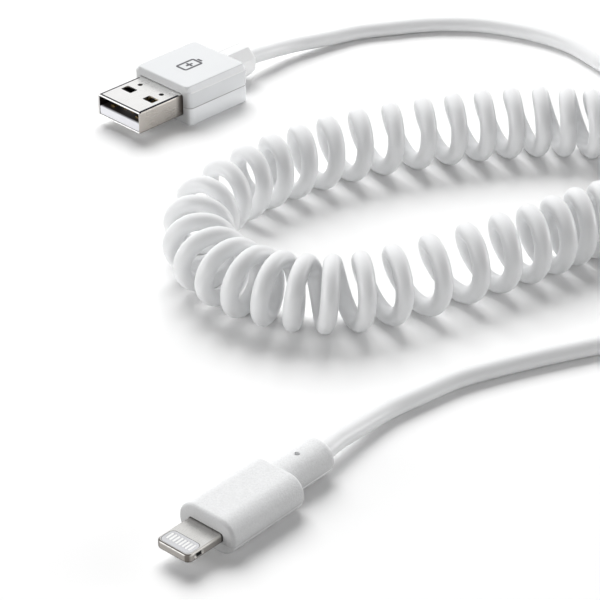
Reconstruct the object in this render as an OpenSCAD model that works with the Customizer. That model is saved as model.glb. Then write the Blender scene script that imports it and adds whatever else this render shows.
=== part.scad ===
// Curly charging cord: a four-contact host plug, a coiled cord and an eight-contact device plug.
// Sizes are in millimetres. Everything lies on the plane z = 0, and the origin is under the
// middle of the box round the two plugs. Each plug is drawn along its own X axis, from its
// mouth or tip at x = 0 to the cord, and is then turned and moved to where it lies.

/* [Cord] */
// Outer diameter of the cord's jacket
cord_d = 3.15; // [2.9:0.05:3.2]
// Diameter of one insulated wire inside the jacket
wire_d = 0.8; // [0.6:0.05:0.9]
// Distance between neighbouring wires in the jacket
wire_pitch = 1.1; // [1:0.05:1.2]

/* [Curls] */
// Outer diameter of the curls
curl_od = 13.65; // [13:0.05:13.9]
// Curl number at which the wound length starts, counted from the host plug
first_curl = -0.5; // [-0.5:1:1.5]
// Curl number at which the wound length ends
last_curl = 33.5; // [31.5:1:33.5]

/* [Crimp rings] */
// Wall of the metal ring crimped on each end of the cord
ring_wall = 0.3; // [0.2:0.05:0.35]
// Length of each crimp ring
ring_l = 1.5; // [1.2:0.1:1.6]

/* [Host plug shell] */
// Width of the metal shell
shell_w = 12; // [11.5:0.1:12.5]
// Height of the metal shell
shell_h = 4.5; // [4.2:0.1:4.7]
// Sheet thickness of the metal shell
shell_t = 0.3; // [0.2:0.05:0.35]
// Outer corner radius of the shell's section
shell_r = 0.5; // [0.4:0.1:0.8]
// Length of the shell that stands out of the covers
shell_out = 11.3; // [10.8:0.1:12.5]
// Length of the shell that the covers hold
shell_in = 6.95; // [6:0.05:7]
// Distance from the mouth to the latch windows
window_x = 4.7; // [4:0.1:5.5]
// Length of a latch window along the plug
window_l = 1.9; // [1.5:0.05:2.2]
// Width of a latch window
window_w = 2.8; // [2:0.1:3]
// Distance of each window's middle from the plug's middle
window_y = 3.1; // [2.5:0.1:3.5]

/* [Host plug insulator] */
// Thickness of the tongue that carries the contacts
tongue_t = 1.9; // [1.7:0.05:2.1]
// Distance from the mouth to the tongue's front edge
tongue_x = 0.4; // [0.2:0.1:0.8]
// Distance from the mouth to the block that fills the shell
plug_block_x = 9.2; // [8.5:0.1:10]

/* [Host plug contacts] */
// Width of a contact
host_contact_w = 1; // [0.8:0.1:1.2]
// Thickness of a contact
host_contact_t = 0.25; // [0.2:0.05:0.3]
// How far a contact stands above the tongue
host_contact_rise = 0.05; // [0.05:0.05:0.1]
// Distance of the two inner contacts from the middle
inner_contact_y = 1; // [0.9:0.1:1.2]
// Distance of the two outer contacts from the middle
outer_contact_y = 3.5; // [3.2:0.1:3.8]
// Distance from the mouth to the inner contacts
inner_contact_x = 2.6; // [2.2:0.1:3]
// Distance from the mouth to the outer contacts
outer_contact_x = 1.6; // [1.2:0.1:2]
// Length of the solder tails behind the shell
tail_l = 1.9; // [1.5:0.1:2]

/* [Host plug covers] */
// Length of the covers
host_l = 16; // [15:0.1:17]
// Width of the covers
host_w = 16.1; // [15.3:0.1:17]
// Height of the closed covers
host_h = 8.1; // [8:0.1:9]
// Wall thickness of the covers
host_wall = 1.2; // [1:0.05:1.2]
// Radius of the covers' upright corners
host_corner_r = 1.3; // [0.4:0.1:1.4]
// Chamfer round the top edge
host_top_chamfer = 1; // [0.6:0.1:1.2]
// Chamfer round the bottom edge
host_base_chamfer = 0.3; // [0.2:0.1:0.6]
// Height of the joint between the covers above the bottom
host_split = 3.7; // [3.4:0.1:4.6]
// Sheet thickness of the two halves of the shield can
can_t = 0.3; // [0.2:0.05:0.35]

/* [Host plug collar] */
// Width of the eight-sided collar across its flats
collar_w = 6.5; // [6:0.1:6.8]
// Length of the collar outside the covers
collar_l = 7.3; // [5.5:0.1:8]
// Wall of the collar's neck round the cord, in the covers' rear wall
neck_wall = 0.7; // [0.6:0.05:0.8]
// Thickness of the flange that holds the collar in the covers
flange_t = 0.9; // [0.7:0.05:1]

/* [Device plug tab] */
// Width of the tab
tab_w = 6.7; // [6.6:0.05:6.9]
// Thickness of the tab
tab_t = 1.5; // [1.5:0.05:1.7]
// Length of the tab that stands out of the covers
tab_out = 7.2; // [6.5:0.1:7.5]
// Length of the tab behind the covers' front face
tab_in = 5.4; // [4.8:0.1:5.6]
// Corner radius of the tab's section
tab_edge_r = 0.35; // [0.25:0.05:0.6]
// Radius of the tab's two front corners
tab_corner_r = 0.9; // [0.6:0.1:1.2]
// Depth of the latch notch in each side of the tab
notch_depth = 0.18; // [0.1:0.02:0.2]
// Distance from the tip to the latch notches
notch_x = 1.3; // [1.1:0.1:1.5]
// Length of a latch notch
notch_l = 2.1; // [1.8:0.1:2.3]
// Height of a latch notch
notch_h = 1; // [0.7:0.1:1.1]

/* [Device plug contacts] */
// Length of the plastic insert that carries the contacts
insert_l = 3; // [2.9:0.1:3.2]
// Width of the insert
insert_w = 5.9; // [5.8:0.05:6.1]
// Distance from the tip to the insert
insert_x = 0.35; // [0.35:0.05:0.7]
// Corner radius of the insert
insert_r = 0.9; // [0.4:0.1:1]
// Distance between neighbouring contacts
pad_pitch = 0.64; // [0.6:0.01:0.66]
// Width of a contact
pad_w = 0.35; // [0.3:0.01:0.38]
// Length of a contact
pad_l = 1.75; // [1.4:0.05:1.8]

/* [Device plug board] */
// Thickness of the circuit board
board_t = 0.7; // [0.6:0.05:0.75]
// Width of the board inside the tab
board_tab_w = 5.2; // [5:0.1:5.3]
// Distance from the tip to the board's rear edge
board_end = 17.9; // [17.6:0.1:18]
// Side of the square control chip
control_chip_w = 2.6; // [2.2:0.1:2.8]
// Height of the control chip
control_chip_h = 0.75; // [0.6:0.05:1]
// Side of the square power chip
power_chip_w = 1.6; // [1.3:0.1:1.8]
// Height of the power chip
power_chip_h = 0.6; // [0.5:0.05:0.9]

/* [Device plug covers] */
// Length of the covers
device_l = 16.1; // [16:0.1:17]
// Width of the covers
device_w = 11.2; // [11:0.1:12]
// Height of the closed covers
device_h = 6.2; // [6.2:0.1:6.8]
// Corner radius of the covers' section
device_r = 3; // [2.6:0.1:3]
// Rounding of the covers' front and rear edges
device_end_r = 0.6; // [0.3:0.1:0.9]
// Wall thickness of the covers
device_wall = 1.1; // [0.9:0.05:1.1]
// Height of the joint between the covers above the bottom
device_split = 2.3; // [2.1:0.1:3]
// Sheet thickness of the shield can
device_can_t = 0.2; // [0.15:0.05:0.25]

/* [Device plug strain relief] */
// Width of the strain relief
relief_w = 6.25; // [6:0.05:6.6]
// Thickness of the strain relief
relief_t = 5.9; // [5.5:0.1:6.1]
// Length of the strain relief outside the covers
relief_l = 10.1; // [8:0.1:12]
// Rounding of the strain relief's end
relief_end_r = 1.2; // [0.6:0.1:1.2]
// Diameter of the small blind hole in the top of the strain relief
vent_d = 1; // [0.6:0.1:1.2]
// Depth of the blind hole
vent_depth = 0.5; // [0.3:0.1:0.7]
// Distance from the covers to the blind hole
vent_x = 4.4; // [2.5:0.1:5]

/* [Hidden] */

$fn = 48;
fit = 0.05;        // clearance between a piece and what holds it
pad_fit = 0.02;    // clearance round a small contact in its pocket
can_gap = 0.2;     // room between a can, a crimp ring and the flange behind them
jacket_show = 0.3; // jacket that stands out of a crimp ring towards the wires
cut = 1;           // how far a cutting solid runs past the face it cuts
cord_r = cord_d / 2;

// Where each plug lies: its mouth or tip on the floor plan, and its heading in degrees
host_at = [-18.05, 57.2];
host_heading = 45.5;
device_at = [-1.64, -80.83];
device_heading = 48.6;
host_axis_z = host_h / 2;
device_axis_z = device_h / 2;

// Host plug: places along its axis, from the mouth
host_back = shell_out + host_l;
shell_end = shell_out + shell_in;
can_w = shell_w + 2 * (fit + can_t);
can_h = shell_h + 2 * (fit + can_t);
can_r = shell_r + can_t;
host_room_w = max(host_w - 2 * host_wall, can_w + 2 * fit);
host_room_h = max(host_h - 2 * host_wall, can_h + 2 * fit);
host_room_front = shell_out + host_wall;
host_room_back = host_back - host_wall;
insulator_inset = 0.5;
insulator_end = shell_end - insulator_inset;
tongue_top = tongue_t - shell_h / 2 + shell_t + fit;
contact_z = tongue_top + host_contact_rise - host_contact_t;
tail_end = insulator_end + tail_l;
flange_front = host_room_back - fit - flange_t;
host_can_end = flange_front - can_gap;
host_ring_end = host_can_end;
host_cord_end = host_ring_end - ring_l - jacket_show;
collar_end = host_back + collar_l;
can_inset = 1;
can_start = host_room_front + can_inset;
neck_d = cord_d + 2 * (fit + neck_wall);
flange_side = 1;

// Device plug: places along its axis, from the tip
device_back = tab_out + device_l;
tab_end = tab_out + tab_in;
device_room_front = tab_out + device_wall;
device_room_back = device_back - device_wall;
relief_flange_front = device_room_back - fit - flange_t;
device_ring_end = relief_flange_front - can_gap;
device_cord_end = device_ring_end - ring_l - jacket_show;
device_can_end = device_cord_end + can_gap;
device_can_w = device_w - 2 * (device_wall + fit);
device_can_h = device_h - 2 * (device_wall + fit);
device_can_r = device_r - device_wall - fit;
board_gap = 0.15;
board_w = device_can_w - 2 * (device_can_t + board_gap);
wire_land_l = 1.5;
wire_land_pitch = 1.65;
chip_gap = 0.5;
control_chip_y = -1.2;
power_chip_y = 2;
pad_inset = 0.9;
pad_x = insert_x + pad_inset;
relief_side_flat = 0.25;
relief_r = (relief_t - relief_side_flat) / 2;
relief_end = device_back + relief_l;

// Route of the lead from the host collar to the curls: [x, y, height above lying on the floor]
host_route = [
    [8.7, 84.3, 2.2], [15, 90.6, 1.1], [23, 96, 0.3], [29.5, 99.7, 0], [36, 101.5, 0],
    [42.5, 103, 0], [48.5, 103.5, 0], [55, 103, 0], [61, 101, 0], [67, 98, 0], [73, 93, 0],
    [78, 85.5, 0], [82, 78.5, 0], [86.5, 71.5, 0], [91, 64.5, 0], [95, 57, 0], [97.5, 49.5, 0],
    [97.5, 42, 0], [94, 35.5, 0], [88.5, 33, 0], [83.5, 35.5, 0], [81.5, 40.5, 0]
];
// Route of the lead from the curls to the device plug's strain relief
device_route = [
    [81, 7, 0], [83.5, 1, 0], [84, -5.5, 0], [81.5, -12, 0], [76.5, -17.5, 0], [70, -21, 0],
    [63.5, -23.5, 0], [57, -26, 0], [50, -29, 0], [43, -32.5, 0], [37, -37, 0],
    [31.5, -41.5, 0.1], [26.6, -47.2, 0.6], [22.8, -52.2, 1.3]
];
// Middle line of the curls on the floor plan, one point every two curls from curl -3
curl_line = [
    [94.5, 46], [83, 48.5], [73.5, 48], [63.5, 49], [52.5, 47.5], [41, 44.5], [28.5, 40],
    [17.5, 33.5], [8, 25.5], [0.5, 14], [0, 1], [5.5, -8], [13.5, -13], [23, -14.5],
    [34, -11], [47, -3.5], [58, 3], [66.5, 9], [74.5, 13.5], [82.5, 18.5], [93, 27]
];
curl_line_start = -3;
curls_per_point = 2;
// How far the curls lean over to the left, as [curl number, share of their radius]
curl_lean = [[1, 0.2], [7, 0.1], [13, -0.05], [19, 0.05], [26, 0.15], [32, 0.05]];
// How far the curls are skewed sideways, as [curl number, share of their radius]
curl_skew = [
    [1, 0.22], [5, 0.06], [8, 0], [11, -0.1], [15, -0.05], [18, 0], [26, 0], [29, 0.1], [32, 0.2]
];
curl_r = (curl_od - cord_d) / 2;
curl_rings = 8;
curl_sides = 6;
tube_sides = 8;

// ---- vectors, routes and tubes ----

function unit(v) = v / norm(v);
function flat(a) = [cos(a), sin(a), 0];
function host_point(x) = [host_at[0], host_at[1], host_axis_z] + x * flat(host_heading);
function device_point(x) = [device_at[0], device_at[1], device_axis_z] + x * flat(device_heading);
function laid(route) = [for (p = route) [p[0], p[1], cord_r + p[2]]];

// Smooth line through p1 and p2, for u from 0 to 1
function blend(p0, p1, p2, p3, u) =
    0.5 * (2 * p1 + (p2 - p0) * u + (2 * p0 - 5 * p1 + 4 * p2 - p3) * u * u
    + (3 * p1 - p0 - 3 * p2 + p3) * u * u * u);
function line_at(n) =
    let (t = (n - curl_line_start) / curls_per_point - 1)
    let (i = max(0, min(floor(t), len(curl_line) - 4)))
    blend(curl_line[i], curl_line[i + 1], curl_line[i + 2], curl_line[i + 3], t - i);
curl_line_low = curl_line_start + curls_per_point;
curl_line_high = curl_line_start + curls_per_point * (len(curl_line) - 2);
function line_heading(n) =
    unit(line_at(min(n + 1, curl_line_high)) - line_at(max(n - 1, curl_line_low)));

// Point of the curly cord at curl number n; whole numbers are at the top of a curl
function curl_point(n) =
    let (middle = line_at(n), d = line_heading(n), side = curl_r * sin(360 * n))
    let (up = curl_r * cos(360 * n), lean = lookup(n, curl_lean), skew = lookup(n, curl_skew))
    [
        middle[0] - side * d[1] - lean * up + skew * side,
        middle[1] + side * d[0],
        cord_r + curl_r + up
    ];
function curl_outward(n) =
    let (d = line_heading(n))
    [-sin(360 * n) * d[1], sin(360 * n) * d[0], cos(360 * n)];
curl_step = 0.01;
function curl_tangent(n) = unit(curl_point(n + curl_step) - curl_point(n - curl_step));
// The wound length leaves its last half curl level, and straight for one diameter
function level(v) = unit([v[0], v[1], 0]);
curl_in = level(curl_tangent(first_curl));
curl_out = level(curl_tangent(last_curl));
curl_start = curl_point(first_curl) - cord_d * curl_in;
curl_end = curl_point(last_curl) + cord_d * curl_out;

// A ring of points round c, square to t, with its first corner towards ref
function ring(c, t, ref, r, sides) =
    let (u = unit(cross(t, ref)), v = cross(u, t))
    [for (k = [0:sides - 1]) c + r * (cos(360 * k / sides) * v + sin(360 * k / sides) * u)];
function ring_walls(rings, sides) =
    [for (i = [0:rings - 2], k = [0:sides - 1], half = [0, 1])
        let (a = i * sides + k, b = i * sides + (k + 1) % sides)
        half == 0 ? [a, b, a + sides] : [b, b + sides, a + sides]];
function ring_caps(rings, sides) = concat(
    [for (k = [1:sides - 2]) [0, k + 1, k]],
    [for (k = [1:sides - 2]) let (e = (rings - 1) * sides) [e, e + k, e + k + 1]]
);
module ring_tube(rings, sides) {
    polyhedron(
        points = [for (r = rings) each r],
        faces = concat(ring_walls(len(rings), sides), ring_caps(len(rings), sides))
    );
}
// A tube of radius r along the points p, square to start_dir and end_dir at its ends
module tube(p, start_dir, end_dir, r) {
    last = len(p) - 1;
    ring_tube([
        for (i = [0:last])
            let (t = i == 0 ? start_dir : i == last ? end_dir : unit(p[i + 1] - p[i - 1]))
            ring(p[i], t, [0, 0, 1], r, tube_sides)
    ], tube_sides);
}

// ---- plain shapes ----

module rounded_rect(w, h, r) {
    square([w - 2 * r, h], center = true);
    square([w, h - 2 * r], center = true);
    for (x = [-1, 1], y = [-1, 1])
        translate([x * (w / 2 - r), y * (h / 2 - r)]) circle(r);
}
// Draws a section, given as Y and Z, from x0 to x1
module along_x(x0, x1) {
    translate([x0, 0, 0]) rotate([90, 0, 90]) linear_extrude(x1 - x0) children();
}
module bar(x0, x1, w, z0, z1) {
    translate([x0, -w / 2, z0]) cube([x1 - x0, w, z1 - z0]);
}
module round_x(x0, x1, d) {
    translate([x0, 0, 0]) rotate([0, 90, 0]) cylinder(h = x1 - x0, d = d);
}
module bent_wire(p) {
    tube(p, [1, 0, 0], [1, 0, 0], wire_d / 2);
}
module at_host() {
    translate([host_at[0], host_at[1], host_axis_z]) rotate([0, 0, host_heading]) children();
}
module at_device() {
    translate([device_at[0], device_at[1], device_axis_z]) rotate([0, 0, device_heading]) children();
}

// ---- host plug ----

module host_shell() {
    color("lightgray") at_host() difference() {
        along_x(0, shell_end) rounded_rect(shell_w, shell_h, shell_r);
        along_x(-cut, shell_end + cut)
            rounded_rect(shell_w - 2 * shell_t, shell_h - 2 * shell_t, max(0.1, shell_r - shell_t));
        for (y = [-window_y, window_y])
            translate([window_x, y - window_w / 2, -shell_h]) cube([window_l, window_w, 2 * shell_h]);
    }
}

function host_contact_y(i) = [-outer_contact_y, -inner_contact_y, inner_contact_y, outer_contact_y][i - 1];
function host_contact_x(i) = abs(host_contact_y(i)) > inner_contact_y ? outer_contact_x : inner_contact_x;

module host_insulator() {
    room_w = shell_w - 2 * shell_t - 2 * fit;
    room_h = shell_h - 2 * shell_t - 2 * fit;
    room_r = max(0.1, shell_r - shell_t);
    color("white") at_host() difference() {
        along_x(tongue_x, insulator_end) rounded_rect(room_w, room_h, room_r);
        bar(tongue_x - cut, plug_block_x, shell_w, tongue_top, shell_h);
        for (i = [1:4])
            translate([host_contact_x(i) - fit, host_contact_y(i) - host_contact_w / 2 - fit, contact_z])
                cube([shell_end, host_contact_w + 2 * fit, host_contact_t + fit]);
    }
}

module host_contact(i) {
    color("gold") at_host()
        translate([host_contact_x(i), host_contact_y(i) - host_contact_w / 2, contact_z])
            cube([tail_end - host_contact_x(i), host_contact_w, host_contact_t]);
}

// Half of the can that closes over the shell's rear end and the solder tails
module host_shield_can(upper) {
    z0 = upper ? 0 : -host_h;
    color("silver") at_host() intersection() {
        difference() {
            along_x(can_start, host_can_end) rounded_rect(can_w, can_h, can_r);
            along_x(can_start - cut, host_can_end - can_t)
                rounded_rect(can_w - 2 * can_t, can_h - 2 * can_t, can_r - can_t);
            round_x(host_can_end - cut, host_can_end + cut, cord_d + 2 * (2 * fit + ring_wall));
        }
        bar(can_start - cut, host_can_end + cut, host_w, z0, z0 + host_h);
    }
}

module crimp_ring(x) {
    color("silver") difference() {
        round_x(x - ring_l, x, cord_d + 2 * (fit + ring_wall));
        round_x(x - ring_l - cut, x + cut, cord_d + 2 * fit);
    }
}
module host_crimp_ring() {
    at_host() crimp_ring(host_ring_end);
}

// The two inner wires end in the upper half of the cord and the two outer wires in the lower
function wire_end(x, y, upper) =
    [x, (y < 0 ? -1 : 1) * wire_pitch / 2, (upper ? 1 : -1) * wire_pitch / 2];
wire_colours = ["red", "white", "green", "black"];

module host_wire(i) {
    y = host_contact_y(i);
    z = contact_z + host_contact_t + wire_d / 2;
    inner = abs(y) <= inner_contact_y;
    last = wire_end(host_cord_end, y, inner);
    color(wire_colours[i - 1]) at_host() bent_wire([
        [insulator_end + fit, y, z], [tail_end - wire_d / 2, y, z],
        last - [wire_d / 2, 0, 0], last
    ]);
}

// The closed covers as one block, with its axis at z = 0
module host_block() {
    h = host_h / 2;
    t = host_top_chamfer;
    b = host_base_chamfer;
    intersection() {
        translate([shell_out + host_l / 2, 0, -h]) linear_extrude(host_h)
            rounded_rect(host_l, host_w, host_corner_r);
        along_x(shell_out, host_back) chamfered(host_w, h, t, b);
        translate([shell_out + host_l / 2, host_w / 2, 0]) rotate([90, 0, 0])
            linear_extrude(host_w) chamfered(host_l, h, t, b);
    }
}
module chamfered(w, h, t, b) {
    polygon([
        [-w / 2, -h + b], [-w / 2 + b, -h], [w / 2 - b, -h], [w / 2, -h + b],
        [w / 2, h - t], [w / 2 - t, h], [-w / 2 + t, h], [-w / 2, h - t]
    ]);
}
module host_cover(upper) {
    split = host_split - host_h / 2;
    z0 = upper ? split : split - host_h;
    color("white") at_host() intersection() {
        difference() {
            host_block();
            bar(host_room_front, host_room_back, host_room_w, -host_room_h / 2, host_room_h / 2);
            along_x(shell_out - cut, host_room_front + cut)
                rounded_rect(shell_w + 2 * fit, shell_h + 2 * fit, shell_r);
            round_x(host_room_back - cut, host_back + cut, neck_d + 2 * fit);
        }
        bar(shell_out - cut, host_back + cut, host_w + 2 * cut, z0, z0 + host_h);
    }
}

module host_collar() {
    flange_h = host_room_h - 2 * fit;
    color("white") at_host() difference() {
        union() {
            along_x(host_back, collar_end)
                rotate(22.5) circle(d = collar_w / cos(22.5), $fn = 8);
            round_x(flange_front, host_back, neck_d);
            bar(flange_front, flange_front + flange_t, collar_w + 2 * flange_side,
                -flange_h / 2, flange_h / 2);
        }
        round_x(flange_front - cut, collar_end + cut, cord_d + 2 * fit);
    }
}

// ---- cord ----

module host_lead() {
    out = flat(host_heading);
    color("white") tube(
        concat([host_point(host_cord_end), host_point(collar_end)], laid(host_route), [curl_start]),
        out, curl_in, cord_r
    );
}

module curly_cord() {
    steps = round((last_curl - first_curl) * curl_rings);
    color("white") ring_tube(concat(
        [ring(curl_start, curl_in, curl_outward(first_curl), cord_r, curl_sides)],
        [ring(curl_point(first_curl), curl_in, curl_outward(first_curl), cord_r, curl_sides)],
        [for (i = [1:steps - 1])
            let (n = first_curl + i / curl_rings)
            ring(curl_point(n), curl_tangent(n), curl_outward(n), cord_r, curl_sides)],
        [ring(curl_point(last_curl), curl_out, curl_outward(last_curl), cord_r, curl_sides)],
        [ring(curl_end, curl_out, curl_outward(last_curl), cord_r, curl_sides)]
    ), curl_sides);
}

module device_lead() {
    out = -flat(device_heading);
    color("white") tube(
        concat([curl_end], laid(device_route), [device_point(relief_end), device_point(device_cord_end)]),
        curl_out, out, cord_r
    );
}

// Least gap of the wound length to itself, from points that are more than half a curl apart
gap_steps = 12;
gap_points = [for (n = [first_curl:1 / gap_steps:last_curl]) curl_point(n)];
least_gap = min([
    for (i = [0:len(gap_points) - 1], j = [i + 1:len(gap_points) - 1])
        if (j - i > gap_steps / 2) norm(gap_points[i] - gap_points[j])
]) - cord_d;
echo(least_gap_of_curls = least_gap);

// ---- device plug ----

module device_strain_relief() {
    profile_r = relief_w / 2;
    flange_w = device_w - 2 * (device_wall + fit);
    flange_h = device_h - 2 * (device_wall + fit);
    color("white") at_device() difference() {
        union() {
            intersection() {
                along_x(device_back, relief_end) rounded_rect(relief_w, relief_t, relief_r);
                translate([device_back, 0, 0]) rotate([0, 90, 0]) rotate_extrude() {
                    square([profile_r, relief_l - relief_end_r]);
                    square([profile_r - relief_end_r, relief_l]);
                    translate([profile_r - relief_end_r, relief_l - relief_end_r]) circle(relief_end_r);
                }
            }
            round_x(relief_flange_front, device_back, neck_d);
            along_x(relief_flange_front, relief_flange_front + flange_t)
                rounded_rect(flange_w, flange_h, device_r - device_wall - fit);
        }
        round_x(relief_flange_front - cut, relief_end + cut, cord_d + 2 * fit);
        translate([device_back + vent_x, 0, relief_t / 2 - vent_depth]) cylinder(h = cut, d = vent_d);
    }
}

// The closed covers as one block with a rounded section and rounded ends
module device_block() {
    intersection() {
        along_x(tab_out, device_back) rounded_rect(device_w, device_h, device_r);
        translate([tab_out + device_l / 2, 0, -device_h / 2]) linear_extrude(device_h)
            rounded_rect(device_l, device_w, device_end_r);
        translate([tab_out + device_l / 2, device_w / 2, 0]) rotate([90, 0, 0])
            linear_extrude(device_w) rounded_rect(device_l, device_h, device_end_r);
    }
}

module device_cover(upper) {
    split = device_split - device_h / 2;
    z0 = upper ? split : split - device_h;
    color("white") at_device() intersection() {
        difference() {
            device_block();
            along_x(device_room_front, device_room_back)
                rounded_rect(device_w - 2 * device_wall, device_h - 2 * device_wall, device_r - device_wall);
            along_x(tab_out - cut, device_room_front + cut)
                rounded_rect(tab_w + 2 * fit, tab_t + 2 * fit, tab_edge_r);
            round_x(device_room_back - cut, device_back + cut, neck_d + 2 * fit);
        }
        bar(tab_out - cut, device_back + cut, device_w + 2 * cut, z0, z0 + device_h);
    }
}

module device_crimp_ring() {
    at_device() crimp_ring(device_ring_end);
}

module device_shield_can() {
    color("silver") at_device() difference() {
        along_x(device_room_front + fit, device_can_end)
            rounded_rect(device_can_w, device_can_h, device_can_r);
        along_x(tab_out, device_can_end + cut)
            rounded_rect(device_can_w - 2 * device_can_t, device_can_h - 2 * device_can_t,
                device_can_r - device_can_t);
    }
}

module device_wire(i) {
    y = (i - 2.5) * wire_land_pitch;
    z = board_t / 2 + wire_d / 2;
    last = wire_end(device_cord_end, y, i == 2 || i == 3);
    color(wire_colours[i - 1]) at_device() bent_wire([
        [board_end - wire_land_l, y, z], [board_end - wire_d / 2, y, z],
        last - [wire_d / 4, 0, 0], last
    ]);
}

module device_board() {
    color("darkgreen") at_device() {
        bar(pad_x, tab_end + fit, board_tab_w, -board_t / 2, board_t / 2);
        bar(tab_end + fit, board_end, board_w, -board_t / 2, board_t / 2);
    }
}

module chip(x, y, w, h) {
    color("dimgray") at_device() translate([x - w / 2, y - w / 2, board_t / 2]) cube([w, w, h]);
}
module device_control_chip() {
    chip(tab_end + chip_gap + control_chip_w / 2, control_chip_y, control_chip_w, control_chip_h);
}
module device_power_chip() {
    chip(tab_end + chip_gap + power_chip_w / 2, power_chip_y, power_chip_w, power_chip_h);
}

module device_tab() {
    color("silver") at_device() difference() {
        intersection() {
            along_x(0, tab_end) rounded_rect(tab_w, tab_t, tab_edge_r);
            translate([tab_end / 2 + tab_w / 2, 0, -tab_t]) linear_extrude(2 * tab_t)
                rounded_rect(tab_end + tab_w, tab_w, tab_corner_r);
        }
        translate([insert_x + insert_l / 2, 0, -tab_t]) linear_extrude(2 * tab_t)
            rounded_rect(insert_l + 2 * pad_fit, insert_w + 2 * pad_fit, insert_r);
        bar(insert_x + insert_l / 2, tab_end + cut, board_tab_w + 2 * fit,
            -board_t / 2 - fit, board_t / 2 + fit);
        for (s = [-1, 1])
            translate([notch_x + notch_l / 2, s * (tab_w / 2 - notch_depth + cut), 0])
                cube([notch_l, 2 * cut, notch_h], center = true);
    }
}

function pad_y(i) = (i - 4.5) * pad_pitch;
module device_contact_insert() {
    color("gainsboro") at_device() difference() {
        translate([insert_x + insert_l / 2, 0, -tab_t / 2]) linear_extrude(tab_t)
            rounded_rect(insert_l, insert_w, insert_r);
        bar(pad_x - fit, insert_x + insert_l + cut, board_tab_w + 2 * fit,
            -board_t / 2 - fit, board_t / 2 + fit);
        for (i = [1:8])
            translate([pad_x - pad_fit, pad_y(i) - pad_w / 2 - pad_fit, -tab_t])
                cube([pad_l + 2 * pad_fit, pad_w + 2 * pad_fit, 2 * tab_t]);
    }
}

// A contact reaches from the board to just above the face of the insert
module device_contact(i, side) {
    h = tab_t / 2 - board_t / 2 + pad_fit / 2;
    z = side > 0 ? board_t / 2 : -board_t / 2 - h;
    color("gold") at_device() translate([pad_x, pad_y(i) - pad_w / 2, z]) cube([pad_l, pad_w, h]);
}

// ---- assembly ----

host_shell();
host_insulator();
for (i = [1:4]) host_contact(i);
host_shield_can(true);  // host_shield_can_top
host_shield_can(false);  // host_shield_can_bottom
host_crimp_ring();
for (i = [1:4]) host_wire(i);
host_cover(true);  // host_cover_top
host_cover(false);  // host_cover_bottom
host_collar();
host_lead();
curly_cord();
device_lead();
device_strain_relief();
device_cover(true);  // device_cover_top
device_cover(false);  // device_cover_bottom
device_crimp_ring();
device_shield_can();
for (i = [1:4]) device_wire(i);
device_board();
device_control_chip();
device_power_chip();
device_tab();
device_contact_insert();
for (i = [1:8]) device_contact(i, 1);
for (i = [1:8]) device_contact(i, -1);
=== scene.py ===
"""Looks of a curly charging cable with a flat host plug and a small device plug.

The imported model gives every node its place. The visible pieces are built here in millimetres, in
each plug's own frame: X runs along the plug from its mouth or tip to the cord, Y sideways and Z up
from the plug's axis.
"""

import math

import bmesh
import bpy
from mathutils import Matrix, Vector


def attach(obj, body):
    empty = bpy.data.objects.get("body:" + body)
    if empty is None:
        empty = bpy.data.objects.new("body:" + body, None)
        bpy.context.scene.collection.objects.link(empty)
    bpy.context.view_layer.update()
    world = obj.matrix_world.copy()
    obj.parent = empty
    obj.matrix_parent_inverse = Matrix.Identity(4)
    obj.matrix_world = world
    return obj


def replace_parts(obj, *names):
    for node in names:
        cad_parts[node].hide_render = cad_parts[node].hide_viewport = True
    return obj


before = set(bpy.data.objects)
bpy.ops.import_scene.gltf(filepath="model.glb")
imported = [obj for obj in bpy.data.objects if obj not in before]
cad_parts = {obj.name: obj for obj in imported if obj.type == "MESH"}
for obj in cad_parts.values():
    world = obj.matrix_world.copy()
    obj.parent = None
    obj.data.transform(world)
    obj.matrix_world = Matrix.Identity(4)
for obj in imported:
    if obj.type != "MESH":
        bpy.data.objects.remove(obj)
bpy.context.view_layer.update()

# ---- sizes ----

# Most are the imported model's own. Some small radii, the tongue and the contact bars differ a little.

CORD_D = 3.15
CORD_R = CORD_D / 2
CURL_OD = 13.65
CURL_R = (CURL_OD - CORD_D) / 2
FIRST_CURL, LAST_CURL = -0.5, 33.5

HOST_AT = (-18.05, 57.2, 4.05)
HOST_HEADING = 45.5
DEVICE_AT = (-1.64, -80.83, 3.1)
DEVICE_HEADING = 48.6

FIT = 0.05
NECK_R = 2.325
BORE_R = CORD_R + FIT
FLANGE_T = 0.9

SHELL_W, SHELL_H, SHELL_T = 12, 4.5, 0.3
SHELL_R, SHELL_FOLD_R = 0.5, 0.35
SHELL_OUT, SHELL_END = 11.3, 18.25
WINDOW_X, WINDOW_L, WINDOW_W, WINDOW_Y = 4.7, 1.9, 2.8, 3.1
PUNCH_X, PUNCH_Y, PUNCH_R = 8.5, 3.06, 0.5
TONGUE_X, TONGUE_T, BLOCK_X, BLOCK_END = 0.14, 1.8, 9.2, 17.75
CONTACT_SLOT_W = 1.1
CONTACTS = ((-3.5, 1.6), (-1, 2.6), (1, 2.6), (3.5, 1.6))
HOST_L, HOST_W, HOST_H, HOST_WALL = 16, 16.1, 8.1, 1.2
HOST_TOP_CHAMFER, HOST_CORNER_R = 1.0, 1.2
HOST_BACK = SHELL_OUT + HOST_L
HOST_SPLIT = 3.7 - HOST_H / 2
HOST_CORD_END = 23.15
HOST_FLANGE, HOST_FLANGE_W, HOST_FLANGE_H = 25.15, 8.5, 5.6
COLLAR_W, COLLAR_END, COLLAR_END_R = 6.5, 34.6, 0.9
SYMBOL_X, SYMBOL_L, SYMBOL_W, SYMBOL_LINE = 18.9, 4.9, 3.1, 0.5

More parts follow.
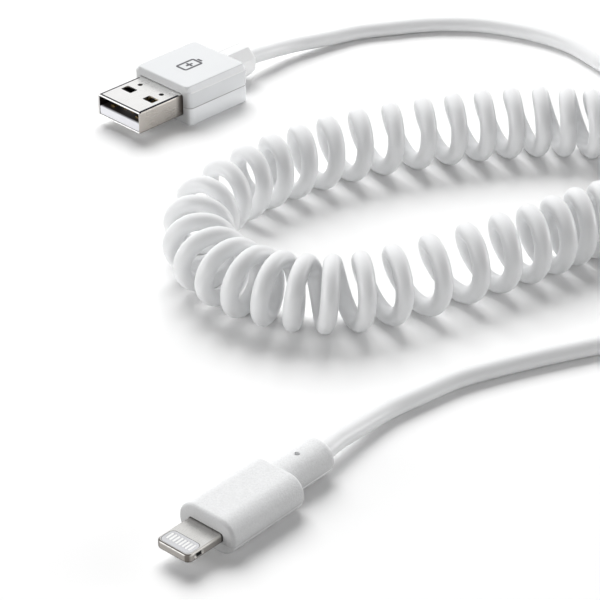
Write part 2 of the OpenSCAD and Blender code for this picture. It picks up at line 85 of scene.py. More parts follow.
TAB_W, TAB_T, TAB_OUT, TAB_END = 6.7, 1.5, 7.2, 12.6
NOTCH_X, NOTCH_L, NOTCH_H = 1.3, 2.1, 1.0
DEVICE_L, DEVICE_W, DEVICE_H, DEVICE_R, DEVICE_WALL = 16.1, 11.2, 6.2, 3.0, 1.1
DEVICE_BACK = TAB_OUT + DEVICE_L
DEVICE_SPLIT = 2.3 - DEVICE_H / 2
DEVICE_CORD_END = 19.25
DEVICE_FLANGE, DEVICE_FLANGE_W, DEVICE_FLANGE_H = 21.25, 8.9, 3.9
RELIEF_W, RELIEF_T, RELIEF_END, RELIEF_END_R = 6.25, 5.9, 33.4, 1.15
RELIEF_SUNK = 0.2
VENT_X, VENT_DEPTH = 27.7, 0.5
INSERT_X, INSERT_L, INSERT_W, INSERT_R = 0.35, 3.0, 5.9, 0.9
PAD_X, PAD_L, PAD_W, PAD_PITCH = 1.2, 1.6, 0.35, 0.64
BOARD_ROOM_W, BOARD_ROOM_H = 5.3, 0.8


def plug_frame(at, heading):
    """From a plug's own frame in millimetres to the part's frame in metres."""
    turn = Matrix.Rotation(math.radians(heading), 4, "Z")
    return Matrix.Scale(0.001, 4) @ Matrix.Translation(at) @ turn


HOST = plug_frame(HOST_AT, HOST_HEADING)
DEVICE = plug_frame(DEVICE_AT, DEVICE_HEADING)

# ---- camera ----

camera = bpy.data.objects.new("camera", bpy.data.cameras.new("camera"))
bpy.context.scene.collection.objects.link(camera)
camera.location = (0.0171, -0.3668, 0.2212)
camera.rotation_euler = (math.radians(58.54), 0, 0)
camera.data.lens = 146.94
camera.data.sensor_width = 36
camera.data.clip_start = 0.01
camera.data.clip_end = 20
bpy.context.scene.camera = camera

# ---- materials ----


class Value:
    """A shader socket or a number that can be used in sums."""

    def __init__(self, nodes, source):
        self.nodes, self.source = nodes, source

    def math(self, operation, *others):
        inputs = dict(enumerate((self, *others)))
        return self.nodes.node("Math", {"operation": operation}, inputs)

    def __add__(self, other):
        return self.math("ADD", other)

    __radd__ = __add__

    def __mul__(self, other):
        return self.math("MULTIPLY", other)

    __rmul__ = __mul__

    def __sub__(self, other):
        return self.math("SUBTRACT", other)

    def __rsub__(self, other):
        return Value(self.nodes, other).math("SUBTRACT", self)

    def __truediv__(self, other):
        return self.math("DIVIDE", other)

    def __pow__(self, other):
        return self.math("POWER", other)

    def clamp(self):
        return self.math("MAXIMUM", 0).math("MINIMUM", 1)

    def size(self):
        return self.math("ABSOLUTE")

    def over(self, limit, soft):
        """1 above the limit and 0 below it, with a soft step between."""
        return ((self - limit) / soft + 0.5).clamp()

    def between(self, low, high, soft):
        return self.over(low, soft) * (1 - self.over(high, soft))


class Nodes:
    """A node tree, and the ways to add to it."""

    def __init__(self, tree):
        self.tree = tree

    def feed(self, socket, value):
        if isinstance(value, Value):
            value = value.source
        if isinstance(value, bpy.types.NodeSocket):
            self.tree.links.new(value, socket)
        else:
            socket.default_value = value

    def node(self, kind, settings=None, inputs=None, output=0):
        """One output of a new node, from its type, its settings and what its inputs get."""
        node = self.tree.nodes.new("ShaderNode" + kind)
        for key, value in (settings or {}).items():
            setattr(node, key, value)
        for key, value in (inputs or {}).items():
            self.feed(node.inputs[key], value)
        return Value(self, node.outputs[output])

    def looked_at(self):
        """1 for rays that the camera, a reflection or glass sends, and 0 for light that spreads."""
        camera, glossy, transmission = (
            self.node("LightPath", output=ray)
            for ray in ("Is Camera Ray", "Is Glossy Ray", "Is Transmission Ray")
        )
        return camera.math("MAXIMUM", glossy).math("MAXIMUM", transmission)


class Paint(Nodes):
    """A material of one Principled shader and the nodes that feed it."""

    def __init__(self, name, **settings):
        self.material = bpy.data.materials.new(name)
        self.material.use_nodes = True
        super().__init__(self.material.node_tree)
        self.shader = self.tree.nodes["Principled BSDF"]
        for key, value in settings.items():
            if key == "color":
                value = (*value, 1)
                self.material.diffuse_color = value
            self.socket(key).default_value = value

    def socket(self, key):
        names = {"color": "Base Color"}
        return self.shader.inputs[names.get(key, key.replace("_", " ").title().replace("Ior", "IOR"))]

    def place(self, turn=0, stretch=(1, 1, 1)):
        """Object coordinates in millimetres, turned about Z and stretched."""
        point = self.node("TexCoord", output="Object")
        if turn:
            turned = {"Rotation": (0, 0, math.radians(turn)), "Vector": point}
            point = self.node("Mapping", {"vector_type": "TEXTURE"}, turned)
        scale = tuple(1000 * s for s in stretch)
        return self.node("Mapping", {"vector_type": "POINT"}, {"Scale": scale, "Vector": point})

    def own(self, at, heading):
        """Coordinates in a plug's own frame, in millimetres: along it, across it and up."""
        point = self.node("Mapping", {"vector_type": "TEXTURE"}, {
            "Location": tuple(0.001 * c for c in at),
            "Rotation": (0, 0, math.radians(heading)),
            "Scale": (0.001, 0.001, 0.001),
            "Vector": self.node("TexCoord", output="Object"),
        })
        return [self.node("SeparateXYZ", inputs={0: point}, output=axis) for axis in "XYZ"]

    def noise(self, scale, detail=2, place=None, roughness=0.5):
        """Fractal noise from 0 to 1, with scale in cells per millimetre."""
        return self.node("TexNoise", inputs={
            "Vector": place or self.place(), "Scale": scale, "Detail": detail, "Roughness": roughness,
        }, output="Fac")

    def blend(self, amount, low, high):
        """The colour from low to high, by amount."""
        low, high = ((*c, 1) if isinstance(c, tuple) else c for c in (low, high))
        factor, first, second, result = 0, 6, 7, 2
        colours = {factor: amount, first: low, second: high}
        return self.node("Mix", {"data_type": "RGBA"}, colours, output=result)

    def vary(self, key, value):
        self.feed(self.socket(key), value)

    def bump(self, height, depth, strength=1.0):
        """Raises the surface by height, from 0 to 1, times depth in millimetres."""
        inputs = {"Height": height, "Distance": depth / 1000, "Strength": strength}
        self.vary("normal", self.node("Bump", inputs=inputs, output="Normal"))


def tone(level, cool=0.0, warm=0.0):
    """A near grey: level is its brightness, cool and warm tint it."""
    return (level * (1 - cool), level * (1 - 0.5 * cool - 0.35 * warm), level * (1 - warm))


def jacket():
    p = Paint(
        "jacket_white", color=(0.84, 0.84, 0.85), roughness=0.3, coat_weight=0.3, coat_roughness=0.32
    )
    # Painted light and shade: the cord's colour grows lighter near the floor, as painted bounce light,
    # and darker up towards the curls' tops, as painted shade where the key lamp falls strongest. Only
    # the noise is the jacket's own.
    z = p.own((0, 0, 0), 0)[2]
    plain = p.blend(p.noise(0.12, 2), tone(0.83, 0.014), tone(0.87, 0.016))
    low = p.blend(z.over(8.0, 8), tone(0.88, 0.012), plain)
    p.vary("color", p.blend(z.over(1.1, 1.8), tone(0.97, 0.012), low))
    fine = p.noise(5.5, 3)
    p.vary("roughness", 0.34 + fine * 0.1)
    p.bump(fine, 0.006, 0.3)
    return p.material


def gloss():
    p = Paint(
        "gloss_white", color=(0.84, 0.84, 0.87), roughness=0.2, coat_weight=0.35, coat_roughness=0.08
    )
    x, y, z = p.own(HOST_AT, HOST_HEADING)
    across = y.size()
    side, shoulder = HOST_W / 2, HOST_H / 2 - HOST_TOP_CHAMFER
    slope = across.over(side - HOST_TOP_CHAMFER + 0.15, 0.1) * z.over(shoulder + 0.1, 0.1)
    ridge_highlight = across.over(side - 0.2, 0.08) * z.between(shoulder - 0.15, shoulder + 0.15, 0.12)
    front = 1 - x.over(SHELL_OUT + 0.25, 0.4)
    joint = z.between(HOST_SPLIT - 0.09, HOST_SPLIT + 0.09, 0.06)
    color = p.blend(p.noise(0.15, 2), tone(0.79, 0.035), tone(0.82, 0.03))
    # Painted light: the chamfer and the lower cover are coloured near white and the upper cover
    # darker, lit and shaded copies of one plastic.
    color = p.blend(slope, color, tone(0.98, 0.025))
    color = p.blend(z.over(HOST_SPLIT, 0.1), tone(0.97, 0.03), color)
    # Painted highlight: a light line along the chamfer's lower edge.
    color = p.blend(ridge_highlight, color, tone(0.97, 0.01))
    # Painted shade: the covers' front face beside the shell is darkened.
    color = p.blend(front * 0.62, color, tone(0.4))
    p.vary("color", p.blend(joint, color, tone(0.42)))
    p.vary("roughness", 0.17 + p.noise(2.2, 3) * 0.1)
    p.bump(p.noise(0.5, 1), 0.01, 0.35)
    return p.material


def collar_plastic():
    p = Paint("collar_white", color=(0.84, 0.84, 0.85), roughness=0.3, coat_weight=0.15)
    y, z = p.own(HOST_AT, HOST_HEADING)[1:]
    top = z.over(COLLAR_W / 2 - 0.13, 0.06)
    edge = y.between(1.15, 1.5, 0.08) * z.over(COLLAR_W / 2 - 0.25, 0.1)
    color = p.blend(p.noise(0.3, 2), tone(0.98, 0.006), tone(0.99, 0.006))
    # Painted shade: the collar's top facet is coloured darker than its near white sides.
    color = p.blend(top, color, tone(0.9, 0.01))
    # Painted shade: a dark line along an upper facet edge on one side.
    p.vary("color", p.blend(edge, color, tone(0.66)))
    p.vary("roughness", 0.25 + p.noise(2.5, 3) * 0.12)
    p.bump(p.noise(3.0, 2), 0.006, 0.5)
    return p.material


def satin():
    p = Paint("satin_white", color=(0.82, 0.82, 0.83), roughness=0.5, specular_ior_level=0.4)
    grain = ((p.noise(3.0, 3, roughness=0.8) - 0.5) * 2.8 + 0.5).clamp()
    x, y, z = p.own(DEVICE_AT, DEVICE_HEADING)
    behind = x.over(DEVICE_BACK, 0.05)
    side_from = 4.4 - behind * 2.5
    side = ((y.size() - side_from) / 1.6).clamp()
    front = 1 - x.over(TAB_OUT + 0.45, 0.7)
    joint = z.between(DEVICE_SPLIT - 0.12, DEVICE_SPLIT, 0.06) * (1 - behind)
    seam_highlight = z.between(-1.2, -0.95, 0.08) * behind
    top = p.blend(grain, tone(0.79, 0.014), tone(0.92, 0.014))
    low = p.blend(grain, tone(0.56, 0.01), tone(0.64, 0.01))
    # Painted shade: the covers' colour darkens towards the bottom of their sides. Only the grain is
    # their own.
    color = p.blend(z.over(0.4, 3.2), low, top)
    # Painted light: below the parting line the lower cover is coloured lighter, as a lit strip beneath
    # the shaded side.
    color = p.blend(z.over(DEVICE_SPLIT - 0.1, 0.1), tone(0.74, 0.01), color)
    # Painted shade: the covers and the relief darken towards their rounded sides.
    color = p.blend(side * 0.4, color, tone(0.5))
    # Painted shade: the covers' front face darkens around the tab's root.
    color = p.blend(front * 0.58, color, tone(0.42))
    color = p.blend(joint, color, tone(0.45))
    # Painted highlight: a near white line along the relief's parting line.
    p.vary("color", p.blend(seam_highlight, color, tone(0.96, 0.01)))
    p.vary("roughness", 0.44 + grain * 0.16)
    p.bump(grain, 0.035, 0.8)
    return p.material


def shell_painted_shade(x, y, z):
    """Painted shade on the shell: dark lines along its top folds and at the edge of its mouth, and
    dark discs over its punch marks, as 1 on them and 0 beside them.
    """
    across, side, top = y.size(), SHELL_W / 2, SHELL_H / 2
    fold_shade = across.between(side - 0.62, side - 0.14, 0.06) * z.over(top - 0.25, 0.1)
    fold_shade = fold_shade * x.between(0.4, SHELL_OUT - 0.7, 0.3)
    lip_shade = x.between(0.2, 0.6, 0.06) * z.size().over(top - 0.15, 0.05)
    punch = ((x - PUNCH_X) ** 2 + (across - PUNCH_Y) ** 2).over((PUNCH_R + 0.01) ** 2, 0.05)
    return (fold_shade + lip_shade + (1 - punch) * z.over(top - 0.45, 0.1)).clamp()


def steel():
    p = Paint("plug_steel", color=(0.72, 0.71, 0.69), metallic=1.0, roughness=0.25)
    x, y, z = p.own(HOST_AT, HOST_HEADING)
    lines = p.noise(1.0, 4, p.place(HOST_HEADING, (0.35, 9, 9)), 0.6)
    cloud = p.noise(0.35, 3)
    across, side, room = y.size(), SHELL_W / 2, SHELL_T - 0.02
    # Painted shade: the shell's inside is coloured near black.
    inside_shade = (1 - across.over(side - room, 0.04)) * (1 - z.size().over(SHELL_H / 2 - room, 0.04))
    inside_shade = inside_shade * x.over(0.12, 0.05)
    # Painted reflection and shade: the shell's top and bottom are coloured bright and its flanks dark,
    # lit and shaded copies of one steel.
    top = p.blend(cloud, (0.85, 0.845, 0.83), (0.92, 0.915, 0.91))
    shaded_flank = p.blend(cloud, (0.44, 0.41, 0.38), (0.53, 0.5, 0.465))
    # Painted shade: the flanks darken further next to the covers.
    shaded_flank = p.blend(x.over(SHELL_OUT - 1, 1.6), shaded_flank, (0.16, 0.14, 0.125))
    color = p.blend(across.over(side - 0.17, 0.12), top, shaded_flank)
    # Painted shade: near black lines along the folds and the mouth's edge, and near black discs over
    # the punch marks.
    color = p.blend(shell_painted_shade(x, y, z), color, (0.012, 0.012, 0.02))
    p.vary("color", p.blend(inside_shade, color, (0.035, 0.03, 0.028)))
    p.vary("roughness", 0.22 + lines * 0.06 + cloud * 0.06 + inside_shade * 0.3)
    p.bump(lines, 0.002, 0.4)
    return p.material


def tab_edge_reflections(p, x, y, z):
    """Painted reflections and shade on the tab's rounded edge: its rim, its front corners, its darker
    borders and black hollows in its notches.
    """
    across, side, top = y.size(), TAB_W / 2, TAB_T / 2
    rim = p.blend(across.over(side - 0.25, 0.2), (0.42, 0.41, 0.395), (0.5, 0.485, 0.46))
    edge = p.blend(z.over(0.4, 0.16), (0.36, 0.34, 0.32), rim)
    corner_shade = across.between(2.55, 3.2, 0.2) * (1 - x.over(0.8, 0.3))
    edge = p.blend(corner_shade, edge, (0.16, 0.145, 0.13))
    tip = z.over(top - 0.105, 0.05) * (1 - x.over(0.6, 0.4))
    border_shade = tip + (1 - z.over(-0.5, 0.2)) + x.over(TAB_OUT - 0.15, 0.15)
    edge = p.blend(border_shade.clamp(), edge, (0.1, 0.09, 0.085))
    notch = x.between(NOTCH_X + 0.02, NOTCH_X + NOTCH_L, 0.04)
    notch = notch * (1 - z.size().over(NOTCH_H / 2, 0.04)) * across.between(3.02, side - 0.05, 0.03)
    hollow = x.between(1.9, 3.05, 0.25) * z.between(-0.45, 0.12, 0.15)
    hollow = (hollow + 1 - x.over(NOTCH_X + 0.2, 0.06)).clamp()
    notch_shade = p.blend(hollow, (0.42, 0.41, 0.39), (0.012, 0.012, 0.012))
    return p.blend(notch, edge, notch_shade)


def nickel():
    p = Paint("tab_nickel", color=(0.74, 0.73, 0.7), metallic=1.0, roughness=0.3)
    x, y, z = p.own(DEVICE_AT, DEVICE_HEADING)
    lines = p.noise(1.0, 4, p.place(DEVICE_HEADING, (0.6, 14, 14)), 0.6)
    flat = z.size().over(TAB_T / 2 - 0.015, 0.02)
    face = p.blend(p.noise(0.6, 3), (0.66, 0.65, 0.63), (0.74, 0.735, 0.72))
    # Painted shade and reflection: the tab's face darkens towards the cover, with a dark band just in
    # front of it, as the cover's shade and reflection.
    face = p.blend(x.over(TAB_OUT - 1.9, 1.4) * 0.4, face, (0.4, 0.395, 0.385))
    face = p.blend(x.over(TAB_OUT - 1.1, 0.6), face, (0.47, 0.46, 0.45))
    # The rounded edge gets painted reflections and shade. The flat faces get the face colour.
    p.vary("color", p.blend(flat, tab_edge_reflections(p, x, y, z), face))
    p.vary("roughness", 0.22 + lines * 0.14 + (1 - flat) * 0.15)
    p.bump(lines, 0.004, 0.6)
    return p.material


def tongue():
    p = Paint("insulator_white", color=(0.88, 0.88, 0.92), roughness=0.35, emission_strength=0.05)
    x = p.own(HOST_AT, HOST_HEADING)[0]
    speck = p.noise(4.0, 3)
    front = p.blend(speck, (0.87, 0.875, 0.92), (0.92, 0.925, 0.96))
    # Painted shade: behind its front edge the tongue is coloured near black, with painted grey glints
    # under the windows.
    glint = p.noise(0.8, 1).over(0.53, 0.12) * x.between(4.9, 6.3, 0.3)
    depth = p.blend(glint, (0.035, 0.03, 0.03), (0.4, 0.4, 0.38))
    color = p.blend(x.over(0.5, 0.35), front, depth)
    p.vary("color", color)
    # Painted light: the tongue glows faintly in its own colour, though it is no lamp.
    p.vary("emission_color", color)
    p.vary("roughness", 0.3 + speck * 0.1)
    p.bump(speck, 0.008, 0.6)
    return p.material


def dyed(color, share):
    """The colour made darker or lighter by a share, up to full white."""
    return tuple(min(1, share * c) for c in color)


def plastic(name, color, roughness, grain=4.0, depth=0.008):
    p = Paint(name, color=color, roughness=roughness)
    speck = p.noise(grain, 3)
    p.vary("color", p.blend(speck, dyed(color, 0.94), dyed(color, 1.04)))
    p.vary("roughness", roughness - 0.05 + speck * 0.1)
    p.bump(speck, depth, 0.6)
    return p.material


def metal(name, color, roughness, wear=0.12):
    p = Paint(name, color=color, metallic=1.0, roughness=roughness)
    p.vary("color", p.blend(p.noise(1.3, 4), dyed(color, 1 - wear), color))
    p.vary("roughness", roughness - 0.05 + p.noise(6.0, 3) * 0.14)
    p.bump(p.noise(9.0, 2), 0.004, 0.5)
    return p.material


def board():
    p = Paint("board_green", color=(0.02, 0.16, 0.07), roughness=0.35)
    weave = p.node(
        "TexWave", {"wave_type": "BANDS"},
        {"Vector": p.place(DEVICE_HEADING), "Scale": 1.6, "Distortion": 1.5}, output="Fac",
    )
    p.vary("color", p.blend(weave, (0.012, 0.11, 0.05), (0.03, 0.2, 0.09)))
    p.vary("roughness", 0.3 + p.noise(5.0) * 0.12)
    p.bump(weave, 0.01, 0.4)
    return p.material


MATERIALS = {
    "plug_steel": steel(),
    "insulator_white": tongue(),
    "contact_gold": metal("contact_gold", (0.9, 0.66, 0.3), 0.25),
    "tinned_steel": metal("tinned_steel", (0.7, 0.7, 0.7), 0.35, 0.2),
    "wire_red": plastic("wire_red", (0.55, 0.03, 0.02), 0.4),
    "wire_white": plastic("wire_white", (0.8, 0.8, 0.78), 0.4),
    "wire_green": plastic("wire_green", (0.03, 0.3, 0.06), 0.4),
    "wire_black": plastic("wire_black", (0.02, 0.02, 0.02), 0.4),
    "gloss_white": gloss(),
    "collar_white": collar_plastic(),
    "jacket_white": jacket(),
    "satin_white": satin(),
    "board_green": board(),
    "chip_black": plastic("chip_black", (0.02, 0.02, 0.022), 0.45, 8.0, 0.02),
    "tab_nickel": nickel(),
    "insert_grey": plastic("insert_grey", (0.64, 0.645, 0.665), 0.38, 6.0),
    "contact_plate": metal("contact_plate", (1.0, 1.0, 0.99), 0.3, 0.01),
    "print_grey": plastic("print_grey", (0.09, 0.09, 0.1), 0.5, 6.0, 0.003),
}

WIRE_SLOTS = ("wire_red", "wire_white", "wire_green", "wire_black")


def slot_of(name):
    """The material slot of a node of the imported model."""
    if "_wire_" in name:
        return WIRE_SLOTS[int(name[-1]) - 1]
    for part, material in (
        ("shell", "plug_steel"), ("host_insulator", "insulator_white"),
        ("host_contact", "contact_gold"), ("can", "tinned_steel"), ("ring", "tinned_steel"),
        ("host_cover", "gloss_white"),
        ("collar", "collar_white"), ("lead", "jacket_white"), ("cord", "jacket_white"),
        ("relief", "satin_white"), ("device_cover", "satin_white"), ("board", "board_green"),
        ("chip", "chip_black"), ("device_tab", "tab_nickel"), ("insert", "insert_grey"),
        ("device_contact", "contact_plate"),
    ):
        if part in name:
            return material
    raise ValueError(name)


for name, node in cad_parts.items():
    node.data.materials.clear()
    node.data.materials.append(MATERIALS[slot_of(name)])

# ---- cord ----

HOST_ROUTE = [
    (8.7, 84.3, 2.2), (15, 90.6, 1.1), (23, 96, 0.3), (29.5, 99.7, 0), (36, 101.5, 0),
    (42.5, 103, 0), (48.5, 103.5, 0), (55, 103, 0), (61, 101, 0), (67, 98, 0), (73, 93, 0),
    (78, 85.5, 0), (82, 78.5, 0), (86.5, 71.5, 0), (91, 64.5, 0), (95, 57, 0), (97.5, 49.5, 0),
    (97.5, 42, 0), (94, 35.5, 0), (88.5, 33, 0), (83.5, 35.5, 0), (81.5, 40.5, 0),
]
DEVICE_ROUTE = [
    (81, 7, 0), (83.5, 1, 0), (84, -5.5, 0), (81.5, -12, 0), (76.5, -17.5, 0), (70, -21, 0),
    (63.5, -23.5, 0), (57, -26, 0), (50, -29, 0), (43, -32.5, 0), (37, -37, 0),
    (31.5, -41.5, 0.1), (26.6, -47.2, 0.6), (22.8, -52.2, 1.3),
]
CURL_LINE = [
    (94.5, 46), (83, 48.5), (73.5, 48), (63.5, 49), (52.5, 47.5), (41, 44.5), (28.5, 40),
    (17.5, 33.5), (8, 25.5), (0.5, 14), (0, 1), (5.5, -8), (13.5, -13), (23, -14.5),
    (34, -11), (47, -3.5), (58, 3), (66.5, 9), (74.5, 13.5), (82.5, 18.5), (93, 27),
]
CURL_LINE_START, CURLS_PER_POINT = -3, 2
CURL_LEAN = [(1, 0.2), (7, 0.1), (13, -0.05), (19, 0.05), (26, 0.15), (32, 0.05)]
CURL_SKEW = [
    (1, 0.22), (5, 0.06), (8, 0), (11, -0.1), (15, -0.05), (18, 0), (26, 0), (29, 0.1), (32, 0.2),
]
STEPS_PER_CURL = 28
CORD_SIDES, DISC_SIDES = 24, 32


def lookup(x, table):
    """The table's value at x, straight between its entries."""
    if x <= table[0][0]:
        return table[0][1]
    for (x0, y0), (x1, y1) in zip(table, table[1:]):
        if x <= x1:
            return y0 + (y1 - y0) * (x - x0) / (x1 - x0)
    return table[-1][1]


def line_at(n):
    """The curls' middle line at curl n, smooth through the points of CURL_LINE."""
    t = (n - CURL_LINE_START) / CURLS_PER_POINT - 1
    i = max(0, min(math.floor(t), len(CURL_LINE) - 4))
    u = t - i
    p0, p1, p2, p3 = (Vector(p) for p in CURL_LINE[i:i + 4])
    return 0.5 * (
        2 * p1 + (p2 - p0) * u + (2 * p0 - 5 * p1 + 4 * p2 - p3) * u * u
        + (3 * p1 - p0 - 3 * p2 + p3) * u * u * u
    )


def curl_point(n):
    """The cord's middle at curl n; whole numbers are at the top of a curl."""
    middle = line_at(n)
    low = CURL_LINE_START + CURLS_PER_POINT
    high = CURL_LINE_START + CURLS_PER_POINT * (len(CURL_LINE) - 2)
    d = (line_at(min(n + 1, high)) - line_at(max(n - 1, low))).normalized()
    side = CURL_R * math.sin(math.tau * n)
    up = CURL_R * math.cos(math.tau * n)
    lean, skew = lookup(n, CURL_LEAN), lookup(n, CURL_SKEW)
    return Vector((
        middle.x - side * d.y - lean * up + skew * side, middle.y + side * d.x, CORD_R + CURL_R + up
    ))


def curl_heading(n):
    """The level direction of the cord at curl n."""
    v = curl_point(n + 0.01) - curl_point(n - 0.01)
    return Vector((v.x, v.y, 0)).normalized()


def smooth_route(points, start, end, step=1.0):
    """Points about step apart on a smooth line, which leaves along start and ends along end."""
    points = [Vector(p) for p in points]
    last = len(points) - 1
    slopes = []
    for i, p in enumerate(points):
        if i == 0:
            slopes.append(start * (points[1] - p).length)
        elif i == last:
            slopes.append(end * (p - points[i - 1]).length)
        else:
            slopes.append((points[i + 1] - points[i - 1]) / 2)
    line = []
    for i in range(last):
        a, b, u0, u1 = points[i], points[i + 1], slopes[i], slopes[i + 1]
        steps = max(1, round((b - a).length / step))
        for k in range(steps):
            t = k / steps
            line.append(
                (2 * t ** 3 - 3 * t ** 2 + 1) * a + (t ** 3 - 2 * t ** 2 + t) * u0
                + (3 * t ** 2 - 2 * t ** 3) * b + (t ** 3 - t ** 2) * u1
            )
    return line + [points[-1]]


def on_axis(at, heading, x):
    """The point at x on the axis of a plug that lies at a place with a heading."""
    a = math.radians(heading)
    return Vector(at) + x * Vector((math.cos(a), math.sin(a), 0))


def cord_line():
    """The whole cord's middle line, from the host plug's crimp to the device plug's crimp."""
    host_out = on_axis((0, 0, 0), HOST_HEADING, 1)
    device_out = -on_axis((0, 0, 0), DEVICE_HEADING, 1)
    in_collar = math.floor(COLLAR_END - HOST_CORD_END)
    in_relief = math.floor(RELIEF_END - DEVICE_CORD_END)
    straight = [on_axis(HOST_AT, HOST_HEADING, HOST_CORD_END + k) for k in range(in_collar)]
    first = smooth_route(
        [on_axis(HOST_AT, HOST_HEADING, COLLAR_END)]
        + [(x, y, CORD_R + z) for x, y, z in HOST_ROUTE]
        + [curl_point(FIRST_CURL) - CORD_D * curl_heading(FIRST_CURL)],
        host_out, curl_heading(FIRST_CURL),
    )
    steps = round((LAST_CURL - FIRST_CURL) * STEPS_PER_CURL)
    curls = [curl_point(FIRST_CURL + k / STEPS_PER_CURL) for k in range(steps + 1)]
    last = smooth_route(
        [curl_point(LAST_CURL) + CORD_D * curl_heading(LAST_CURL)]
        + [(x, y, CORD_R + z) for x, y, z in DEVICE_ROUTE]
        + [on_axis(DEVICE_AT, DEVICE_HEADING, RELIEF_END)],
        curl_heading(LAST_CURL), device_out,
    )
    end = [on_axis(DEVICE_AT, DEVICE_HEADING, RELIEF_END - k) for k in range(1, in_relief)]
    end.append(on_axis(DEVICE_AT, DEVICE_HEADING, DEVICE_CORD_END))
    return straight + first + curls + last + end


def piece(name, bm, matrix, slot, sharp=40):
    """A finished piece: its mesh in the part's frame, its shading, its material and its body."""
    bmesh.ops.remove_doubles(bm, verts=bm.verts, dist=1e-5)
    bmesh.ops.recalc_face_normals(bm, faces=bm.faces)
    bmesh.ops.transform(bm, matrix=matrix, verts=bm.verts)
    for face in bm.faces:
        face.smooth = True
    for edge in bm.edges:
        edge.smooth = not edge.is_manifold or edge.calc_face_angle(0) < math.radians(sharp)
    mesh = bpy.data.meshes.new(name)
    bm.to_mesh(mesh)
    bm.free()
    obj = bpy.data.objects.new(name, mesh)
    bpy.context.scene.collection.objects.link(obj)
    mesh.materials.append(MATERIALS[slot])
    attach(obj, "root")
    return obj


def around(sides):
    """The points of a circle of radius 1."""
    turns = [math.tau * k / sides for k in range(sides)]
    return [Vector((math.cos(a), math.sin(a))) for a in turns]


def tube(line, radius, sides):
    """A closed tube along the line, its rings carried along without twist."""
    bm = bmesh.new()
    side = Vector((0, 0, 1))
    rings = []
    for i, p in enumerate(line):
        ahead = (line[min(i + 1, len(line) - 1)] - line[max(i - 1, 0)]).normalized()
        side = (side - side.dot(ahead) * ahead).normalized()
        other = ahead.cross(side)
        rings.append([bm.verts.new(p + radius * (c.x * side + c.y * other)) for c in around(sides)])
    skin(bm, rings)
    return bm


def skin(bm, rings, closed=False):
    """Faces between neighbouring rings; the end rings are capped, or joined if closed."""
    count = len(rings[0])
    pairs = list(zip(rings, rings[1:]))
    if closed:
        pairs.append((rings[-1], rings[0]))
    for a, b in pairs:
        for k in range(count):
            bm.faces.new((a[k], a[(k + 1) % count], b[(k + 1) % count], b[k]))
    if not closed:
        bm.faces.new(rings[0][::-1])
        bm.faces.new(rings[-1])


line = cord_line()
cord = piece("cord", tube(line, CORD_R, CORD_SIDES), Matrix.Scale(0.001, 4), "jacket_white")
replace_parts(cord, "host_lead", "curly_cord", "device_lead")
path = [tuple(0.001 * p) for p in line]
length = sum((b - a).length for a, b in zip(line, line[1:]))

# ---- shapes ----


def fillet(corners, steps=5, closed=True):
    """Points round a polygon of (x, y, radius) corners, each rounded with an arc."""
    out = []
    count = len(corners)
    for i, (x, y, r) in enumerate(corners):
        p = Vector((x, y))
        if not r or (not closed and i in (0, count - 1)):
            out.append(p)
            continue
        a = (Vector(corners[i - 1][:2]) - p).normalized()
        b = (Vector(corners[(i + 1) % count][:2]) - p).normalized()
        half = a.angle(b) / 2
        reach = r / math.tan(half)
        middle = p + (a + b).normalized() * (r / math.sin(half))
        arm = p + a * reach - middle
        sweep = math.pi - 2 * half
        if a.x * b.y - a.y * b.x > 0:
            sweep = -sweep
        guard = min(0.3 * reach, 0.1)
        out.append(p + a * (reach + guard))
        for k in range(steps + 1):
            out.append(middle + Matrix.Rotation(sweep * k / steps, 2) @ arm)
        out.append(p + b * (reach + guard))
    return out


def rectangle(w, h, r, at=(0, 0), steps=5):
    """A rounded rectangle's outline as a function of how far it is drawn in."""

    def outline(inset):
        x, y, q = w / 2 - inset, h / 2 - inset, max(r - inset, 0.03)
        corners = [(-x, -y, q), (x, -y, q), (x, y, q), (-x, y, q)]
        return [p + Vector(at) for p in fillet(corners, steps)]

    return outline


def along_x(s, p):
    """Stands an outline up across the plug, at the distance s along it."""
    return Vector((s, p.x, p.y))


def along_z(s, p):
    """Lays an outline level, at the height s."""
    return Vector((p.x, p.y, s))


def loft(bm, outline, stations, place, closed=False):
    """Skins the outline through stations of (distance, inset)."""
    skin(bm, [[bm.verts.new(place(s, p)) for p in outline(inset)] for s, inset in stations], closed)
    return bm


def solid(outline, profile, place, steps=4, closed=False):
    """A loft whose profile has rounded corners, as (distance, inset, radius)."""
    stations = [tuple(p) for p in fillet(profile, steps, closed)]
    return loft(bmesh.new(), outline, stations, place, closed)


def disc(r):
    """A round outline as a function of how far it is drawn in."""
    return lambda inset: [p * (r - inset) for p in around(DISC_SIDES)]


def as_object(bm):
    """A form as an object of its own, for the boolean modifier."""
    bmesh.ops.recalc_face_normals(bm, faces=bm.faces)
    mesh = bpy.data.meshes.new("form")
    bm.to_mesh(mesh)
    bm.free()
    obj = bpy.data.objects.new("form", mesh)
    bpy.context.scene.collection.objects.link(obj)
    return obj


def cut(bm, *cutters, operation="DIFFERENCE"):
    """The form with the closed cutters taken out of it, or joined to it by a union."""
    obj = as_object(bm)
    tools = [as_object(c) for c in cutters]
    for tool in tools:
        modifier = obj.modifiers.new("cut", "BOOLEAN")
        modifier.operation = operation
        modifier.solver = "EXACT"
        modifier.object = tool
    mesh = bpy.data.meshes.new_from_object(obj.evaluated_get(bpy.context.evaluated_depsgraph_get()))
    out = bmesh.new()
    out.from_mesh(mesh)
    for o in (obj, *tools):
        bpy.data.objects.remove(o)
    return out


